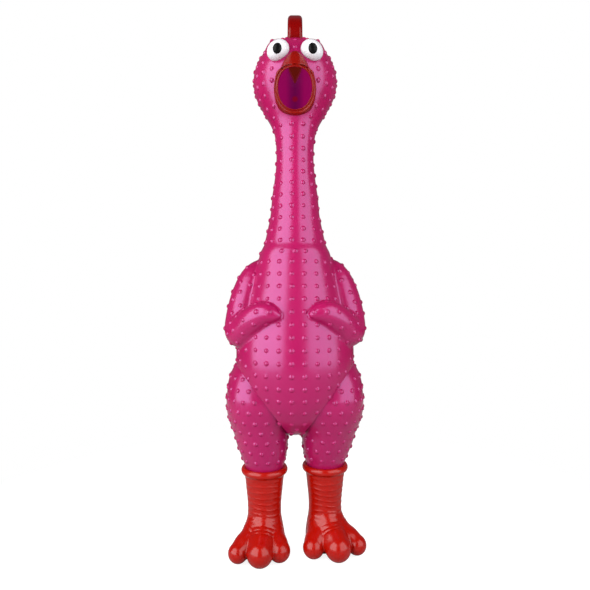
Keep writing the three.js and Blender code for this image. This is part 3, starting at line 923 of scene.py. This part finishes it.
def region(*tests):
    """Cuts the body mesh down by each test and gathers the nubs inside all of them."""
    v, f = body_v, body_f
    keep = np.ones(len(nubs), bool)
    for t in tests:
        v, f = clip(v, f, t)
        keep &= t(nubs) > 0
    return with_nubs(body_field, v, f, nubs[keep])


def above(height):
    return lambda p: p[:, 2] - height


def below(height):
    return lambda p: height - p[:, 2]


def ahead(p):
    return CUT_Y - p[:, 1]


def behind(p):
    return p[:, 1] - CUT_Y


def winged(side):
    return lambda p: np.where(p[:, 0] * side > 0, wing_share(p), NOWHERE)


def plain(p):
    return -wing_share(p)


# where the skin is cut from one body to the next
SHOULDER_Z, MIDNECK_Z, THROAT_Z, CHIN_Z = 200.0, 234.5, 262.0, 306.0


def body_piece(name, body, replaced, *tests):
    """One stretch of the body's skin with its nubs."""
    v, f, n = region(*tests)
    obj = make_piece(name, v, f, n, pink)
    if body:
        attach(obj, body)
    if replaced:
        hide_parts(*replaced)
    return obj


body_piece("torso_skin", "torso", ["torso_shell"], below(SHOULDER_Z), behind, plain)
belly = body_piece("belly_skin", "torso", ["belly_panel"], below(SHOULDER_Z), ahead, plain)
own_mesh(belly)
for name, side in SIDES.items():
    body_piece("wing_skin_" + name, "torso", ["wing_" + name], below(SHOULDER_Z), behind, winged(side))
    hand = body_piece("wing_tip_" + name, "torso", [], below(SHOULDER_Z), ahead, winged(side))
    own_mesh(hand)
base = body_piece("neck_base_skin", None, ["neck_lower"], above(SHOULDER_Z), below(MIDNECK_Z))
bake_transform(base)
middle = body_piece("neck_middle_skin", None, [], above(MIDNECK_Z), below(THROAT_Z))
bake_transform(middle)
throat = body_piece("throat_skin", None, ["neck_upper"], above(THROAT_Z), below(CHIN_Z))
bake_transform(throat)
body_piece("head_skin", "head", ["head_shell"], above(CHIN_Z))

# legs, boots and eyes
def add_thigh(name, side):
    field = LEG[name]
    lean = ANKLE[name][1] * 0.5
    v, f = net(field, (side * 27 - 27, -36, 50), (side * 27 + 27, 38, 146), FINE)
    v, f = clip(v, f, above(57.0))
    bands = rows(field, 67.5, 140, 7.6, 8.2, centre=(side * 25, lean), stagger=True, reach=45,
                 slide=0.3 * side)
    loose = scatter(v, f, 2500)
    places = spaced([bands, loose], [6.4, 7.2], lambda p: (body_field(p) > 1.2) & (p[:, 2] > 64.5))
    v, f, n = with_nubs(field, v, f, places)
    obj = make_piece("thigh_skin_" + name, v, f, n, pink)
    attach(obj, "leg_" + name)
    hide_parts("thigh_" + name)


def add_socket(name, side):
    """Closes the body behind a thigh, so that no slit shows when the leg swings."""
    room = leg_room(name)
    v, f = net(room, (side * 27 - 27, -46, 78), (side * 27 + 27, 44, 150), FINE * 1.6)
    v, f = clip(v, f, lambda p: -body_field(p) - 0.02)
    v, f = clip(v, f, lambda p: p[:, 0] * side - 0.1)
    obj = make_piece("hip_socket_" + name, v, f[:, ::-1], -skin(room, v), pink)
    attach(obj, "torso")


def add_boot(name):
    field = boot_field(name)
    cx, cy, _ = ANKLE[name]
    v, f = net(field, (cx - 36, cy - 42, -2), (cx + 36, cy + 22, 64), SMALL)
    obj = make_piece("boot_skin_" + name, v, f, skin(field, v), red)
    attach(obj, "boot_" + name)
    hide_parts("boot_" + name)


def add_eye(name, side):
    v, f = eye_surface(side)
    obj = make_piece("eyeball_" + name, v, f, None, white)
    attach(obj, "head")
    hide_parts("eye_" + name)
    v, f = pupil_surface(side)
    obj = make_piece("pupil_paint_" + name, v, f, None, black)
    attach(obj, "head")
    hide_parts("pupil_" + name)


for name, side in SIDES.items():
    add_thigh(name, side)
    add_socket(name, side)
    add_boot(name)
    add_eye(name, side)

# head parts
v, f = net(beak_field, (-17, -43, 307), (17, -5, 356), SMALL)
obj = make_piece("beak", v, f, skin(beak_field, v), beak_red)
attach(obj, "head")
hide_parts("upper_beak", "lower_beak")

v, f = net(comb_field, (-8, -16, 345), (8, 40, 400), SMALL)
obj = make_piece("comb_skin", v, f, skin(comb_field, v), comb_red)
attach(obj, "head")
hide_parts("comb")
v, f = net(barb_field, (-7, 9, 348), (7, 20, 371), SMALL)
obj = make_piece("comb_barb", v, f, skin(barb_field, v), barb_brown)
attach(obj, "head")


LINING_DEPTH, LINING_FLOOR = 2.4, 304


def hollow(p):
    """The inside of the head's wall, closed below where the neck begins."""
    return np.maximum(head_field(p) + LINING_DEPTH, LINING_FLOOR - p[:, 2])


v, f = net(hollow, (-32, -32, 300), (32, 32, 374), 1.6)
v, f = clip(v, f, mouth_gap)
obj = make_piece("mouth_lining", v, f[:, ::-1], -skin(hollow, v), lining)
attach(obj, "head")

# the squeaker keeps its CAD solids
for node, material in (("squeaker_housing", plastic), ("squeaker_cap", plastic), ("reed_plate", plastic),
                       ("reed_wedge", plastic), ("reed_tongue", film)):
    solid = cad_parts[node]
    solid.data.materials.clear()
    solid.data.materials.append(material)

# ---------------------------------------------------------------- floor, light, camera
def seen_directly(tree, plain, lit):
    """What the camera sees straight on is one shader, and what lights the toy is the other."""
    path = tree.nodes.new("ShaderNodeLightPath")
    mix = tree.nodes.new("ShaderNodeMixShader")
    tree.links.new(path.outputs["Is Camera Ray"], mix.inputs["Fac"])
    tree.links.new(lit, mix.inputs[1])
    tree.links.new(plain, mix.inputs[2])
    return mix.outputs["Shader"]


FLOOR_Z = -0.0003             # just under the soles, so that no faces fight


def stage_floor():
    """White floor with a faint shadow round the feet, even white further out."""
    bpy.ops.mesh.primitive_plane_add(size=14, location=(0, 0, FLOOR_Z))
    o = bpy.context.object
    o.name = "floor"
    m = bpy.data.materials.new("floor_white")
    m.use_nodes = True
    tree = m.node_tree
    tree.nodes.clear()
    diffuse = tree.nodes.new("ShaderNodeBsdfDiffuse")
    diffuse.inputs["Color"].default_value = (0.42, 0.42, 0.42, 1)
    glow = tree.nodes.new("ShaderNodeEmission")
    glow.inputs["Strength"].default_value = 0.86
    both = tree.nodes.new("ShaderNodeAddShader")
    tree.links.new(diffuse.outputs[0], both.inputs[0])
    tree.links.new(glow.outputs[0], both.inputs[1])
    even = tree.nodes.new("ShaderNodeEmission")
    place = tree.nodes.new("ShaderNodeTexCoord")
    far = tree.nodes.new("ShaderNodeVectorMath")
    far.operation = "LENGTH"
    fade = tree.nodes.new("ShaderNodeMapRange")
    fade.inputs["From Min"].default_value = 0.10
    fade.inputs["From Max"].default_value = 0.32
    blend = tree.nodes.new("ShaderNodeMixShader")
    out = tree.nodes.new("ShaderNodeOutputMaterial")
    tree.links.new(place.outputs["Object"], far.inputs[0])
    tree.links.new(far.outputs["Value"], fade.inputs["Value"])
    tree.links.new(fade.outputs["Result"], blend.inputs["Fac"])
    tree.links.new(both.outputs[0], blend.inputs[1])
    tree.links.new(even.outputs[0], blend.inputs[2])
    tree.links.new(seen_directly(tree, blend.outputs[0], diffuse.outputs[0]), out.inputs["Surface"])
    o.data.materials.append(m)


def studio_world():
    """White backdrop; its light is dim overhead and in front, so that the colours stay deep."""
    world = bpy.data.worlds.new("studio")
    bpy.context.scene.world = world
    world.use_nodes = True
    tree = world.node_tree
    tree.nodes.clear()
    plain = tree.nodes.new("ShaderNodeBackground")
    lit = tree.nodes.new("ShaderNodeBackground")
    place = tree.nodes.new("ShaderNodeTexCoord")
    slope = tree.nodes.new("ShaderNodeVectorMath")
    slope.operation = "DOT_PRODUCT"
    slope.inputs[1].default_value = (0, 0.9, -0.4)
    fade = tree.nodes.new("ShaderNodeMapRange")
    fade.inputs["From Min"].default_value = -1.0
    ramp = colour_ramp(tree.nodes, (0.3, (0.06, 0.06, 0.06)), (0.9, (0.16, 0.16, 0.2)))
    out = tree.nodes.new("ShaderNodeOutputWorld")
    tree.links.new(place.outputs["Generated"], slope.inputs[0])
    tree.links.new(slope.outputs["Value"], fade.inputs["Value"])
    tree.links.new(fade.outputs["Result"], ramp.inputs["Fac"])
    tree.links.new(ramp.outputs["Color"], lit.inputs["Color"])
    plain.inputs["Color"].default_value = (1, 1, 1, 1)
    tree.links.new(seen_directly(tree, plain.outputs[0], lit.outputs[0]), out.inputs["Surface"])


SOFTBOX_FOOT = 0.03           # how high a soft box's lower edge stands


def softbox(name, azimuth, distance, wide, tall, watts, mirrored=True):
    """Upright soft box that faces the toy; azimuth 0 is in front of it, positive to the right."""
    a = math.radians(azimuth)
    light = bpy.data.lights.new(name, "AREA")
    light.shape = "RECTANGLE"
    light.size, light.size_y = wide, tall
    light.energy = watts
    o = bpy.data.objects.new(name, light)
    bpy.context.collection.objects.link(o)
    o.location = (distance * math.sin(a), -distance * math.cos(a), tall / 2 + SOFTBOX_FOOT)
    o.rotation_euler = (math.radians(90), 0, a)
    o.visible_camera = False
    o.visible_glossy = mirrored


stage_floor()
studio_world()
softbox("softbox_left", -50, 0.5, 0.62, 0.80, 7.2)
softbox("softbox_right", 50, 0.5, 0.60, 0.80, 4.8)
softbox("fill_back", 180, 0.7, 0.80, 0.80, 5.0, mirrored=False)
bpy.context.scene.view_settings.view_transform = "Standard"

CAMERA_AWAY, CAMERA_UP = 0.3626, 0.1866
cam = bpy.data.cameras.new("camera")
camera = bpy.data.objects.new("camera", cam)
bpy.context.collection.objects.link(camera)
cam.sensor_width = 36
cam.lens = 29.9
camera.location = (float(AXIS[0]), float(AXIS[1]) - CAMERA_AWAY, CAMERA_UP)
camera.rotation_euler = (math.radians(90), 0, 0)
bpy.context.scene.camera = camera
